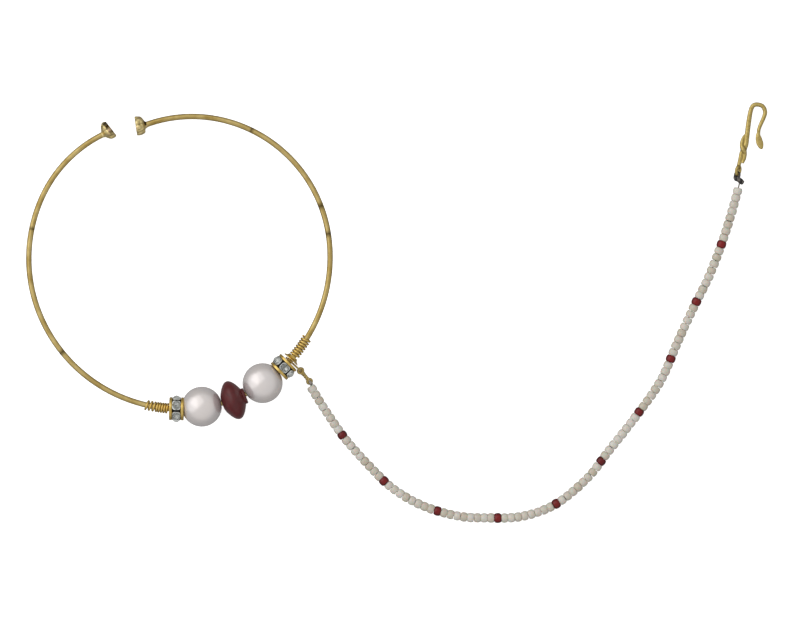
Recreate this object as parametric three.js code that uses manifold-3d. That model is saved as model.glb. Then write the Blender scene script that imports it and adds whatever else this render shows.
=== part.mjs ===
// Nose ring with a beaded chain and a hair hook, lying flat as it is laid on a table.
// Millimetres, +Z up. +X runs along the length, from the ring to the hook, and +Y away from the beads.
// The origin is under the middle of the whole piece, on the surface that it lies on.

import * as THREE from 'three';
import { mergeVertices } from 'three/addons/utils/BufferGeometryUtils.js';
import Module from 'manifold-3d';

const manifold = await Module();
manifold.setup();

// Hoop: springy wire in arcs that start at the middle of the red bead and run up both sides.
// Each arc has its radius as a share of the hoop's, and the degrees that it turns through.
const hoopDiameter = 60;
const hoopWire = 1.1;
const hoopHeading = 20.8;
const hoopRight = [
  { share: 0.99, turn: 25.7 },
  { share: 1.02, turn: 50.6 },
  { share: 0.927, turn: 72.1 },
  { share: 0.887, turn: 31.4 },
];
const hoopLeft = [
  { share: 0.99, turn: 32.2 },
  { share: 1.017, turn: 52.6 },
  { share: 0.987, turn: 50.3 },
  { share: 0.863, turn: 39.8 },
];

// End cups soldered on the wire's ends, each with a stone in its flat face
const cupDiameter = 3.9;
const cupLength = 1.9;
const cupTurn = 12;
const cupSocket = 0.3;
const cupPocket = { radius: 1.35, depth: 0.75 };
const cupStone = { width: 2.4, table: 1.5, crown: 0.25, pavilion: 0.4 };

// Upright band round the widest part of every cut stone
const girdleBand = 0.05;

// Gap between neighbours that touch
const slack = 0.1;

// Beads on the hoop
const pearlDiameter = 8;
const saucer = { diameter: 8, thickness: 4.6, roundness: 1.6, bore: 2, sag: 0.25 };
const saucerCollar = { diameter: 3.2, length: 0.35 };
const bore = 1.6;
const rondelle = { rim: 4.6, width: 2.9, groove: 3, stoneBand: 1.76, dish: 0.75, edge: 0.08 };
const rondelleStones = 6;
const rondelleTurn = { left: 17, right: 10 };
const rondelleStone = { length: 1.95, width: 1.6, table: 0.6, crown: 0.42, pavilion: 0.58, overall: 5.24 };
const rondelleBar = { width: 0.3, top: 3.9 };
const beadCap = { wide: 3.5, narrow: 2, length: 0.85, hole: 1.44 };
const pearlGap = { left: 0.2, right: 0.2 };
const rondelleGap = { left: 0.25, right: 0.5 };

// Wire coils that stop the beads, each with a tight part and, on the left, a loose one
const coilWire = 0.4;
const coilDiameter = 2.16;
const coilRight = [{ turns: 7, pitch: 0.6 }];
const coilLeft = [{ turns: 4.5, pitch: 0.5 }, { turns: 3, pitch: 0.7 }];

// Hanging links: a wire loop round the hoop and a twisted link with an eye at both ends
const hangerWire = 0.38;
const hanger = { bend: 0.88, straight: 2.55, slope: 32 };
const linkWire = 0.34;
const link = { upperEye: 1.36, lowerEye: 1.26, neck: 0.68, plan: 2.75, heading: -50 };

// Strand of seed beads, as offsets on the table from the link's lower eye to the last bead
const strandDiameter = 1.94;
const strandRoute = [
  { x: 0.1, y: -0.8 },
  { x: 3.3, y: -6.0 },
  { x: 7.3, y: -11.7 },
  { x: 12.6, y: -17.6 },
  { x: 16.9, y: -21.6 },
  { x: 22.7, y: -24.9 },
  { x: 29.5, y: -26.9 },
  { x: 35.4, y: -27.3 },
  { x: 42.5, y: -27.0 },
  { x: 49.3, y: -24.5 },
  { x: 55.6, y: -19.3 },
  { x: 59.6, y: -14.2 },
  { x: 65.1, y: -7.2 },
  { x: 70.2, y: 0.1 },
  { x: 73.7, y: 8.1 },
  { x: 77.0, y: 15.2 },
  { x: 79.7, y: 20.6 },
  { x: 82.3, y: 27.2 },
  { x: 84.3, y: 33.4 },
  { x: 85.8, y: 38.8 },
];

// Thread knot between the last bead and the hook
const knot = { x: 0.3, y: 1.3, length: 1.9, width: 1.1, height: 1, heading: 141 };
const threadLoop = { wire: 0.3, reach: 0.6, clearance: 0.15 };

// Hair hook of bent wire, from the eye round the bend to the tip. Its route is in shares of how far
// it reaches from the last bead.
const hookWire = 0.76;
const hookReach = { x: 5.3, y: 16.55 };
const hookRoute = [
  { x: 0, y: 0.254 },
  { x: 0.113, y: 0.338 },
  { x: 0.264, y: 0.508 },
  { x: 0.321, y: 0.653 },
  { x: 0.377, y: 0.779 },
  { x: 0.453, y: 0.918 },
  { x: 0.547, y: 0.985 },
  { x: 0.717, y: 1 },
  { x: 0.906, y: 0.979 },
  { x: 1, y: 0.918 },
  { x: 0.962, y: 0.852 },
  { x: 0.792, y: 0.725 },
  { x: 0.755, y: 0.653 },
  { x: 0.811, y: 0.562 },
].map((share) => ({ x: share.x * hookReach.x, y: share.y * hookReach.y }));
const hookEye = { x: -0.1, y: 3.35, length: 2.3, width: 2, wire: 0.6, heading: 79, roll: 60 };
const hookTip = { length: 3.4, width: 1.25, thickness: 0.5 };
const hookTail = { wire: 0.7, from: 0.302, to: 0.616, turns: 0.5, reach: 0.48, rise: 0.24 };

function material(name, color, roughness, metalness = 0) {
  return new THREE.MeshStandardMaterial({ name, color, roughness, metalness });
}

const gold = material('gilt_brass', 0xc3a24e, 0.35, 1);
const pearl = material('pearl', 0xdcdadc, 0.2);
const redGlass = material('red_glass', 0x661c1e, 0.25);
const crystal = material('crystal', 0xd5d8da, 0.05);
const seedGlass = material('seed_glass', 0xd8d2c6, 0.3);
const darkThread = material('dark_thread', 0x2b2a2b, 0.8);

const radians = THREE.MathUtils.degToRad;
const total = (rows, key) => rows.reduce((sum, row) => sum + row[key], 0);

// The arcs of one side of the hoop, with their radii and lengths
function arcsOf(side) {
  return (side < 0 ? hoopLeft : hoopRight).map(({ share, turn }) => {
    const radius = share * hoopDiameter / 2;
    return { radius, length: radius * radians(turn) };
  });
}

// The hoop's point and heading at a distance along the wire from the red bead, less than 0 on the left
function hoopAt(distance) {
  const side = distance < 0 ? -1 : 1;
  const arcs = arcsOf(side);
  const point = new THREE.Vector3();
  let heading = radians(hoopHeading) + (side < 0 ? Math.PI : 0);
  let rest = Math.abs(distance);
  for (const arc of arcs) {
    const step = arc === arcs.at(-1) ? rest : Math.min(rest, arc.length);
    const angle = side * step / arc.radius;
    point.x += side * arc.radius * (Math.sin(heading + angle) - Math.sin(heading));
    point.y -= side * arc.radius * (Math.cos(heading + angle) - Math.cos(heading));
    heading += angle;
    rest -= step;
  }
  return { point, heading: side < 0 ? heading - Math.PI : heading };
}

// A curve given by a function of the share of its length
class Path extends THREE.Curve {
  constructor(at) {
    super();
    this.at = at;
  }

  getPoint(share) {
    return this.at(share);
  }
}

function sectionOf(diameter, sides) {
  const corner = (_, i) => {
    const angle = 2 * Math.PI * (i + 0.5) / sides;
    return new THREE.Vector2(Math.cos(angle), Math.sin(angle)).multiplyScalar(diameter / 2);
  };
  return new THREE.Shape(Array.from({ length: sides }, corner));
}

function wireAlong(path, diameter, sides, steps) {
  return new THREE.ExtrudeGeometry(sectionOf(diameter, sides), { extrudePath: path, steps });
}

function lathe(profile, sides) {
  const points = profile.map(([radius, height]) => new THREE.Vector2(radius, height));
  return new THREE.LatheGeometry(points, sides);
}

// Joins closed geometries into one solid
function joined(geometries) {
  const solids = geometries.map((geometry) => {
    const bare = geometry.clone();
    bare.deleteAttribute('normal');
    bare.deleteAttribute('uv');
    const merged = mergeVertices(bare, 1e-4);
    const mesh = new manifold.Mesh({
      numProp: 3,
      vertProperties: new Float32Array(merged.attributes.position.array),
      triVerts: new Uint32Array(merged.index.array),
    });
    mesh.merge();
    return new manifold.Manifold(mesh);
  });
  const mesh = solids.reduce((sum, solid) => sum.add(solid)).getMesh();
  const geometry = new THREE.BufferGeometry();
  geometry.setAttribute('position', new THREE.BufferAttribute(mesh.vertProperties, 3));
  geometry.setIndex(new THREE.BufferAttribute(mesh.triVerts, 1));
  geometry.computeVertexNormals();
  return geometry;
}

function piece(name, geometry, material) {
  const mesh = new THREE.Mesh(geometry, material);
  mesh.name = name;
  return mesh;
}

// Turns an object so that its own +Y runs along a heading on the table and its +Z stays up
function turnAlong(object, heading) {
  object.rotation.set(0, 0, heading - Math.PI / 2);
}

// Slides a piece on the hoop. A straight bore shares the bow of the wire between its two sides.
function strung(object, distance, length, turned = false) {
  const ends = [-length / 2, length / 2].map((offset) => hoopAt(distance + offset).point);
  const { point } = hoopAt(distance);
  const chord = ends[1].clone().sub(ends[0]);
  const middle = ends[0].clone().add(ends[1]).multiplyScalar(0.5);
  object.position.copy(middle.add(point).multiplyScalar(0.5));
  turnAlong(object, Math.atan2(chord.y, chord.x) + (turned ? Math.PI : 0));
  return object;
}

// Distances along the hoop, from the red bead outward
const pearlLength = Math.sqrt(pearlDiameter ** 2 - bore ** 2);
const saucerReach = {
  left: saucer.thickness / 2,
  right: saucer.thickness / 2 + saucerCollar.length,
};
// How deep the pearl reaches into the dish of the rondelle beside it
const nesting = (pearlDiameter - Math.sqrt(pearlDiameter ** 2 - rondelle.rim ** 2)) / 2 - slack;
const at = {};
for (const [side, sign] of [['left', -1], ['right', 1]]) {
  const pearlCentre = saucerReach[side] + pearlGap[side] + pearlLength / 2;
  const rondelleCentre = pearlCentre + pearlDiameter / 2 - nesting + rondelleGap[side] + rondelle.width / 2;
  const face = rondelleCentre + rondelle.width / 2;
  at[side] = { sign, pearl: pearlCentre, rondelle: rondelleCentre, face };
}
const hangerAt = at.right.face + slack + hangerWire / 2;
const beadCapAt = hangerAt + hangerWire / 2 + slack;
at.left.coil = at.left.face + slack + coilWire / 2;
at.right.coil = beadCapAt + beadCap.length + slack + coilWire / 2;

// The ring lies in its own plane here. It is tilted onto its pearls and cups further down.
const ring = new THREE.Group();

function cupProfile() {
  const r = cupDiameter / 2;
  return [
    [0, -cupSocket],
    [0.35 * r, -cupSocket],
    [0.45 * r, 0.05 * cupLength],
    [0.7 * r, 0.22 * cupLength],
    [0.93 * r, 0.45 * cupLength],
    [r, 0.7 * cupLength],
    [0.97 * r, cupLength],
    [cupPocket.radius, cupLength],
    [0.93 * cupPocket.radius, cupLength - cupPocket.depth],
    [0, cupLength - cupPocket.depth],
  ];
}

// An end of the hoop: where its cup starts, and the way the cup faces
function hoopEnd(side) {
  const { sign } = at[side];
  const { point, heading } = hoopAt(sign * total(arcsOf(sign), 'length'));
  const outward = side === 'left' ? heading + Math.PI : heading;
  return { point, heading: outward - sign * radians(cupTurn) };
}

function makeHoop() {
  const from = -total(arcsOf(-1), 'length');
  const to = total(arcsOf(1), 'length');
  const path = new Path((share) => hoopAt(THREE.MathUtils.lerp(from, to, share)).point);
  const parts = [wireAlong(path, hoopWire, 10, 96)];
  for (const side of ['left', 'right']) {
    const end = hoopEnd(side);
    const cup = lathe(cupProfile(), 14);
    cup.rotateZ(end.heading - Math.PI / 2);
    cup.translate(end.point.x, end.point.y, 0);
    parts.push(cup);
  }
  ring.add(piece('hoop', joined(parts), gold));
}

// A cut stone with a flat table and 8 facets above and below its girdle, its table facing +Y
function stone({ width, table, crown, pavilion }) {
  return lathe([[0, -pavilion], [width / 2, -girdleBand], [width / 2, 0], [table / 2, crown], [0, crown]], 8);
}

function makeEndStone(side) {
  const end = hoopEnd(side);
  const mesh = piece(`end_stone_${side}`, stone(cupStone), crystal);
  const height = cupLength - cupPocket.depth + slack + cupStone.pavilion;
  mesh.position.set(Math.cos(end.heading), Math.sin(end.heading), 0).multiplyScalar(height).add(end.point);
  turnAlong(mesh, end.heading);
  ring.add(mesh);
}

function makePearl(side) {
  const half = Math.asin(pearlLength / pearlDiameter);
  const bands = 10;
  const profile = Array.from({ length: bands + 1 }, (_, i) => {
    const angle = THREE.MathUtils.lerp(-half, half, i / bands);
    return [Math.cos(angle) * pearlDiameter / 2, Math.sin(angle) * pearlDiameter / 2];
  });
  profile.push(profile[0]);
  const mesh = piece(`pearl_${side}`, lathe(profile, 16), pearl);
  ring.add(strung(mesh, at[side].sign * at[side].pearl, pearlLength));
  return mesh;
}

// The red bead is a saucer: its two faces bulge less than a ball's and meet in a soft rim
function makeSaucer() {
  const outer = saucer.diameter / 2;
  const height = (radius) => {
    const share = 1 - (radius / outer) ** saucer.roundness;
    return saucer.thickness / 2 * share ** (1 / saucer.roundness);
  };
  const face = [0.45, 0.65, 0.8, 0.93].map((share) => [share * outer, height(share * outer)]);
  const profile = [
    [saucer.bore / 2, -saucer.thickness / 2],
    [0.3 * outer, -saucer.thickness / 2],
    ...face.map(([radius, y]) => [radius, -y]),
    [outer, 0],
    ...face.toReversed(),
    [saucerCollar.diameter / 2, height(saucerCollar.diameter / 2)],
    [saucerCollar.diameter / 2, saucerReach.right],
    [saucer.bore / 2, saucerReach.right],
    [saucer.bore / 2, -saucer.thickness / 2],
  ];
  const mesh = piece('saucer_bead', lathe(profile, 16).translate(saucer.sag, 0, 0), redGlass);
  ring.add(strung(mesh, 0, saucer.thickness));
}

// A rondelle: two round rims joined by bars, with a ring of stones between them
function makeRondelle(side) {
  const [rim, half, band] = [rondelle.rim / 2, rondelle.width / 2, rondelle.stoneBand / 2];
  const body = lathe([
    [bore / 2, rondelle.dish - half],
    [rim - rondelle.edge, -half],
    [rim, rondelle.edge - half],
    [rim, -band],
    [rondelle.groove / 2, -band],
    [rondelle.groove / 2, band],
    [rim, band],
    [rim, half - rondelle.edge],
    [rim - rondelle.edge, half],
    [bore / 2, half],
    [bore / 2, rondelle.dish - half],
  ], 16);
  const turn = radians(rondelleTurn[side]);
  const sunk = 0.1;
  const barHeight = (rondelleBar.top - rondelle.groove) / 2 + sunk;
  const bars = Array.from({ length: rondelleStones }, (_, i) => {
    const bar = new THREE.BoxGeometry(rondelleBar.width, rondelle.stoneBand + sunk, barHeight);
    bar.translate(0, 0, rondelleBar.top / 2 - barHeight / 2);
    return bar.rotateY(2 * Math.PI * (i + 0.5) / rondelleStones + turn);
  });
  const group = new THREE.Group();
  group.add(piece(`rondelle_${side}`, joined([body, ...bars]), gold));
  for (let i = 0; i < rondelleStones; i += 1) {
    const geometry = stone(rondelleStone);
    geometry.scale(rondelleStone.length / rondelleStone.width, 1, 1);
    geometry.rotateX(Math.PI / 2);
    geometry.translate(0, 0, rondelleStone.overall / 2 - rondelleStone.crown);
    geometry.rotateY(2 * Math.PI * i / rondelleStones + turn);
    group.add(piece(`rondelle_${side}_stone_${i + 1}`, geometry, crystal));
  }
  ring.add(strung(group, at[side].sign * at[side].rondelle, rondelle.width, side === 'left'));
}

function makeBeadCap() {
  const [wide, narrow, hole] = [beadCap.wide / 2, beadCap.narrow / 2, beadCap.hole / 2];
  const profile = [
    [hole, 0],
    [wide, 0],
    [0.97 * wide, 0.19 * beadCap.length],
    [narrow + 0.33 * (wide - narrow), 0.5 * beadCap.length],
    [narrow, beadCap.length],
    [hole, beadCap.length],
    [hole, 0],
  ];
  const mesh = piece('bead_cap', lathe(profile, 16), gold);
  mesh.geometry.translate(0, -beadCap.length / 2, 0);
  ring.add(strung(mesh, beadCapAt + beadCap.length / 2, beadCap.length));
}

// A coil wound on the hoop, part by part, from the beads outward
function makeCoil(side, parts) {
  const { sign, coil } = at[side];
  const turns = total(parts, 'turns');
  const radius = (coilDiameter - coilWire) / 2;
  const path = new Path((share) => {
    let rest = share * turns;
    let distance = coil;
    for (const part of parts) {
      const wound = Math.min(rest, part.turns);
      distance += wound * part.pitch;
      rest -= wound;
    }
    const { point, heading } = hoopAt(sign * distance);
    const angle = 2 * Math.PI * share * turns;
    const inward = new THREE.Vector3(-Math.sin(heading), Math.cos(heading), 0);
    point.addScaledVector(inward, radius * Math.cos(angle));
    point.z = radius * Math.sin(angle);
    return point;
  });
  ring.add(piece(`coil_${side}`, wireAlong(path, coilWire, 5, Math.round(turns * 10)), gold));
}

// A closed loop with two round ends, lying in its own XY plane: one end round 0,0, the other along +X
function loopPath(bend, straight) {
  const around = 2 * (Math.PI * bend + straight);
  return new Path((share) => {
    let rest = share * around;
    if (rest < straight) return new THREE.Vector3(rest, -bend, 0);
    rest -= straight;
    if (rest < Math.PI * bend) {
      const angle = rest / bend - Math.PI / 2;
      return new THREE.Vector3(straight + bend * Math.cos(angle), bend * Math.sin(angle), 0);
    }
    rest -= Math.PI * bend;
    if (rest < straight) return new THREE.Vector3(straight - rest, bend, 0);
    const angle = (rest - straight) / bend + Math.PI / 2;
    return new THREE.Vector3(bend * Math.cos(angle), bend * Math.sin(angle), 0);
  });
}

// The hanger hangs round the hoop between the rondelle and the bead cap, and slopes outward and down
function makeHanger() {
  const path = loopPath(hanger.bend, hanger.straight);
  const geometry = new THREE.TubeGeometry(path, 36, hangerWire / 2, 6, true);
  geometry.rotateX(Math.PI / 2);
  geometry.rotateY(radians(hanger.slope));
  const mesh = piece('hanger_loop', geometry, gold);
  const { point, heading } = hoopAt(hangerAt);
  mesh.position.copy(point);
  turnAlong(mesh, heading);
  ring.add(mesh);
  return mesh;
}

makeHoop();
makeSaucer();
const pearls = ['left', 'right'].map(makePearl);
for (const side of ['left', 'right']) {
  makeEndStone(side);
  makeRondelle(side);
}
makeBeadCap();
makeCoil('left', coilLeft);
makeCoil('right', coilRight);
const hangerMesh = makeHanger();

// The ring rests on its two pearls and its end cups: it turns about the line through the pearls
const pivot = pearls[0].position.clone();
const hinge = pearls[1].position.clone().sub(pivot).normalize();
const toCup = hoopEnd('left').point.sub(pivot);
const cupAway = toCup.clone().addScaledVector(hinge, -toCup.dot(hinge)).length();
const tilt = Math.asin((pearlDiameter - cupDiameter) / 2 / cupAway);
ring.position.copy(pivot).negate();
const tilted = new THREE.Group();
tilted.add(ring);
tilted.quaternion.setFromAxisAngle(hinge, -tilt);
tilted.position.copy(pivot).setZ(pearlDiameter / 2);

const nath = new THREE.Group();
nath.name = 'nath';
nath.add(tilted);
nath.updateMatrixWorld(true);

// The twisted link: its upper eye hangs in the hanger's end, its lower eye carries the strand's thread
const hangerEnd = new THREE.Vector3(hanger.straight + hanger.bend, 0, 0);
hangerEnd.applyAxisAngle(new THREE.Vector3(0, 1, 0), radians(hanger.slope));
const upperEye = hangerMesh.localToWorld(hangerEnd);
const linkHeading = radians(link.heading);
const lowerEye = upperEye.clone();
lowerEye.x += link.plan * Math.cos(linkHeading);
lowerEye.y += link.plan * Math.sin(linkHeading);
lowerEye.z = strandDiameter / 2;

function makeLink() {
  const along = lowerEye.clone().sub(upperEye);
  const length = along.length();
  const eye = (diameter) => new THREE.TorusGeometry((diameter - linkWire) / 2, linkWire / 2, 6, 14);
  const neckFrom = (link.upperEye - linkWire) / 2;
  const neckTo = length - (link.lowerEye - linkWire) / 2;
  const neck = new THREE.CylinderGeometry(link.neck / 2, link.neck / 2, neckTo - neckFrom, 8);
  neck.rotateZ(Math.PI / 2).translate((neckFrom + neckTo) / 2, 0, 0);
  const lower = eye(link.lowerEye).translate(length, 0, 0);
  const mesh = piece('chain_link', joined([eye(link.upperEye), neck, lower]), gold);
  const forward = along.normalize();
  const sideways = new THREE.Vector3(0, 0, 1).cross(forward).normalize();
  mesh.quaternion.setFromRotationMatrix(
    new THREE.Matrix4().makeBasis(forward, sideways, forward.clone().cross(sideways)),
  );
  mesh.position.copy(upperEye);
  nath.add(mesh);
}

// A place on the table by its offset from another, at a height above the table
function offsetFrom(start, { x, y }, height) {
  return new THREE.Vector3(start.x + x, start.y + y, height);
}

function makeStrand() {
  const points = strandRoute.map((offset) => offsetFrom(lowerEye, offset, strandDiameter / 2));
  const path = new THREE.CatmullRomCurve3(points, false, 'catmullrom', 0.5);
  nath.add(piece('bead_strand', wireAlong(path, strandDiameter, 8, 64), seedGlass));
  return points.at(-1);
}

// The knot of dark thread, with the loop of thread that goes through the hook's eye
function makeKnot(strandEnd) {
  const level = hookLevel(hookEye.y);
  const lump = new THREE.SphereGeometry(0.5, 10, 8).scale(knot.length, knot.width, knot.height);
  lump.rotateZ(radians(knot.heading));
  lump.translate(...offsetFrom(strandEnd, knot, level));

  const heading = radians(hookEye.heading);
  const eyeFoot = (hookEye.length - hookEye.wire) / 2 + threadLoop.reach;
  const bend = hookEye.wire / 2 + threadLoop.clearance + threadLoop.wire / 2;
  const loop = new THREE.TubeGeometry(loopPath(bend, threadLoop.reach), 24, threadLoop.wire / 2, 6, true);
  loop.translate(-eyeFoot, 0, 0).rotateX(radians(hookEye.roll - 90)).rotateZ(heading);
  loop.translate(...offsetFrom(strandEnd, hookEye, level));
  nath.add(piece('thread_knot', joined([lump, loop]), darkThread));
}

// The hook lies on its eye and its bend, so that its wire slopes down between them
function hookLevel(y) {
  const eyeHeight = (hookEye.width - hookEye.wire) / 2 * Math.sin(radians(hookEye.roll)) + hookEye.wire / 2;
  return THREE.MathUtils.mapLinear(y, hookEye.y, hookReach.y, eyeHeight, hookWire / 2);
}

// The hook is one wire: tip, bend and shaft, then the eye, and a tail that winds back up the shaft
function makeHook(strandEnd) {
  const local = (offset) => offsetFrom(strandEnd, offset, hookLevel(offset.y));
  const shaft = new THREE.CatmullRomCurve3(hookRoute.map(local), false, 'catmullrom', 0.5);
  const parts = [wireAlong(shaft, hookWire, 8, 40)];

  const tip = hookRoute.at(-1);
  const before = hookRoute.at(-2);
  const leaf = new THREE.SphereGeometry(0.5, 10, 8);
  leaf.scale(hookTip.width, hookTip.length, hookTip.thickness);
  leaf.rotateZ(Math.atan2(tip.y - before.y, tip.x - before.x) - Math.PI / 2);
  leaf.translate(...local(tip));
  parts.push(leaf);

  const eye = new THREE.TorusGeometry((hookEye.width - hookEye.wire) / 2, hookEye.wire / 2, 6, 14);
  eye.scale((hookEye.length - hookEye.wire) / (hookEye.width - hookEye.wire), 1, 1);
  eye.rotateX(radians(hookEye.roll)).rotateZ(radians(hookEye.heading));
  eye.translate(...local(hookEye));
  parts.push(eye);

  const tail = new Path((share) => {
    const y = THREE.MathUtils.lerp(hookTail.from, hookTail.to, share) * hookReach.y;
    const upper = hookRoute.findIndex((row) => row.y > y);
    const [low, high] = [hookRoute[upper - 1], hookRoute[upper]];
    const x = THREE.MathUtils.mapLinear(y, low.y, high.y, low.x, high.x);
    const angle = 2 * Math.PI * hookTail.turns * share;
    const point = local({ x: x + hookTail.reach * Math.cos(angle), y });
    point.z += hookTail.rise * Math.sin(angle);
    return point;
  });
  parts.push(wireAlong(tail, hookTail.wire, 6, 16));
  nath.add(piece('hook', joined(parts), gold));
}

makeLink();
const strandEnd = makeStrand();
makeKnot(strandEnd);
makeHook(strandEnd);

// Puts the origin under the middle of the whole piece
const box = new THREE.Box3().setFromObject(nath, true);
const middle = box.getCenter(new THREE.Vector3());
nath.position.set(-middle.x, -middle.y, -box.min.z);
nath.updateMatrixWorld(true);

export default nath;
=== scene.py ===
# Nose ring with a beaded chain and a hair hook, lying on a pale table.
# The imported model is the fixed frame. Places are in metres in its frame, and MM turns sizes to metres.

import math
import random

import bpy
import numpy as np
from mathutils import Matrix, Vector, noise


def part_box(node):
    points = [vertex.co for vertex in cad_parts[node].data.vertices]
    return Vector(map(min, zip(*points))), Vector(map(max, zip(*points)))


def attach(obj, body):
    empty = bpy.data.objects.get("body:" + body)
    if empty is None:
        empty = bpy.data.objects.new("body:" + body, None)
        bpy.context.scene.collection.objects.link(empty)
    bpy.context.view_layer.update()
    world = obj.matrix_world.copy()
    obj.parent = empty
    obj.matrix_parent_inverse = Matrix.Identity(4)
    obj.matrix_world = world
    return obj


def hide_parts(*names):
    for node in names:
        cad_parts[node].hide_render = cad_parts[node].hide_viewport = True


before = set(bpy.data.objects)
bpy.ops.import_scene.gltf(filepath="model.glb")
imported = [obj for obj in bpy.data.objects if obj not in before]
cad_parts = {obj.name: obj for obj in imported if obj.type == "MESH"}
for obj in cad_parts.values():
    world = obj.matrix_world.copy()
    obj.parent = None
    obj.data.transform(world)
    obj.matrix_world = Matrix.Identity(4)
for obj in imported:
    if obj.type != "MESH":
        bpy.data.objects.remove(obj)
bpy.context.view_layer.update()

# Hoop: a ring of springy brass wire, drawn through a die, gilded and bent round by hand. It stays
# open at the top, where its ends pinch the nostril. Fine drawing marks run along it, and handling
# has left a few dark spots.
MM = 0.001
SIDES = ("left", "right")
SIGN = {"left": -1, "right": 1}
HOOP_RADIUS = 30 * MM
HOOP_WIRE = 1.14 * MM
HOOP_STEPS = 500
HOOP_SIDES = 24
HOOP_HEADING = math.radians(20.8)
# Arcs from the red bead up each side, as shares of the radius and the degrees that they turn through
HOOP_ARCS = {
    "left": ((0.99, 32.2), (1.017, 52.6), (0.987, 50.3), (0.863, 39.8)),
    "right": ((0.99, 25.7), (1.02, 50.6), (0.927, 72.1), (0.887, 31.4)),
}
PEARL = 8 * MM
PEARL_LENGTH = 7.84 * MM
LEFT_PEARL_AT = -6.42 * MM
CUP = 3.9 * MM
# Dark spots on the wire, as how far along it from the red bead and how long they are
HOOP_SPOTS = ((-37.8, 0.5), (-64.1, 0.3), (41.2, 0.5), (47.0, 0.6), (68.0, 0.3))
SPOT_DEPTH = 0.85
GILT_LIGHT = 0xD9C384
GILT_DARK = 0xA88C48
TARNISH = 0x33240F


def hoop_length(side):
    return sum(share * HOOP_RADIUS * math.radians(turn) for share, turn in HOOP_ARCS[side])


def hoop_at(distance):
    """Point and heading of the wire in the ring's own plane, at a distance from the red bead."""
    side = "left" if distance < 0 else "right"
    sign = SIGN[side]
    point = Vector((0, 0, 0))
    heading = HOOP_HEADING + (math.pi if sign < 0 else 0)
    rest = abs(distance)
    for share, turn in HOOP_ARCS[side]:
        radius = share * HOOP_RADIUS
        last = (share, turn) == HOOP_ARCS[side][-1]
        step = rest if last else min(rest, radius * math.radians(turn))
        angle = sign * step / radius
        point.x += sign * radius * (math.sin(heading + angle) - math.sin(heading))
        point.y -= sign * radius * (math.cos(heading + angle) - math.cos(heading))
        heading += angle
        rest -= step
    return point, heading - (math.pi if sign < 0 else 0)


def strung_point(distance, length):
    """Middle of a straight bore on the bowed wire, half way between the wire and the bore's chord."""
    ends = [hoop_at(distance + half)[0] for half in (-length / 2, length / 2)]
    return ((ends[0] + ends[1]) / 2 + hoop_at(distance)[0]) / 2


def middle(node):
    """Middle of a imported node's box."""
    low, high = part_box(node)
    return (low + high) / 2


def ring_frame():
    """The ring's own plane on the table: it rests on both pearls and on the cups at its ends."""
    left, right = middle("pearl_left"), middle("pearl_right")
    hinge = (right - left).normalized()
    pivot = strung_point(LEFT_PEARL_AT, PEARL_LENGTH)
    reach = hoop_at(-hoop_length("left"))[0] - pivot
    away = (reach - hinge * reach.dot(hinge)).length
    tilt = math.asin((PEARL - CUP) / 2 / away)
    turned = Matrix.Rotation(-tilt, 4, hinge)
    return Matrix.Translation(left) @ turned @ Matrix.Translation(-pivot)


RING = ring_frame()


def linear(colour):
    """Linear colour of an sRGB hex value."""
    parts = [(colour >> shift & 255) / 255 for shift in (16, 8, 0)]
    return [p / 12.92 if p <= 0.04045 else ((p + 0.055) / 1.055) ** 2.4 for p in parts] + [1]


def add(material, kind, settings=None, links=None, result=0):
    """Adds a node and gives its result. settings fill properties or sockets, and links feed sockets."""
    node = material.node_tree.nodes.new("ShaderNode" + kind)
    for name, value in (settings or {}).items():
        if isinstance(name, str) and hasattr(node, name):
            setattr(node, name, value)
        else:
            node.inputs[name].default_value = value
    for name, source in (links or {}).items():
        material.node_tree.links.new(source, node.inputs[name])
    return node.outputs[result]


def new_material(name, settings):
    """A material, with what is the same all over its surface set on its shader's own sockets."""
    material = bpy.data.materials.new(name)
    material.use_nodes = True
    for socket, value in settings.items():
        material.node_tree.nodes["Principled BSDF"].inputs[socket].default_value = value
    return material


def feed(material, links):
    """Feeds the shader what varies over the surface."""
    for socket, source in links.items():
        material.node_tree.links.new(source, material.node_tree.nodes["Principled BSDF"].inputs[socket])
    return material


def drawn_gilt():
    """Gilded brass wire as it comes from the die: soft gloss, with fine streaks along the wire."""
    material = new_material("drawn_gilt_brass", {"Metallic": 1})
    streak_long, streak_wide, patch = 3 * MM, 0.09 * MM, 2.5 * MM
    grain = add(material, "Attribute", {"attribute_name": "grain"}, result="Vector")
    stretched = add(material, "VectorMath", {
        "operation": "MULTIPLY", 1: (1 / streak_long, 1 / streak_wide, 1 / streak_wide),
    }, {0: grain})
    streaks = add(material, "TexNoise", {"Scale": 1.0, "Detail": 3.0}, {"Vector": stretched})
    place = add(material, "TexCoord", result="Object")
    patches = add(material, "TexNoise", {"Scale": 1 / patch, "Detail": 2.0}, {"Vector": place})
    both = add(material, "Math", {"operation": "ADD"}, {0: streaks, 1: patches})
    share = add(material, "MapRange", {"From Min": 0.75, "From Max": 1.3}, {"Value": both})
    gilding = {"data_type": "RGBA", 6: linear(GILT_LIGHT), 7: linear(GILT_DARK)}
    gilt = add(material, "Mix", gilding, {0: share}, 2)
    stain = add(material, "Attribute", {"attribute_name": "stain"}, result="Fac")
    colour = add(material, "Mix", {"data_type": "RGBA", 7: linear(TARNISH)}, {0: stain, 6: gilt}, 2)
    rough = add(material, "MapRange", {"To Min": 0.36, "To Max": 0.56}, {"Value": streaks})
    bump = add(material, "Bump", {"Strength": 0.5, "Distance": 0.02 * MM}, {"Height": streaks})
    return feed(material, {"Base Color": colour, "Roughness": rough, "Normal": bump})


def circle(count):
    """Angles evenly round a circle."""
    return np.linspace(0, 2 * math.pi, count, endpoint=False)


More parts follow.
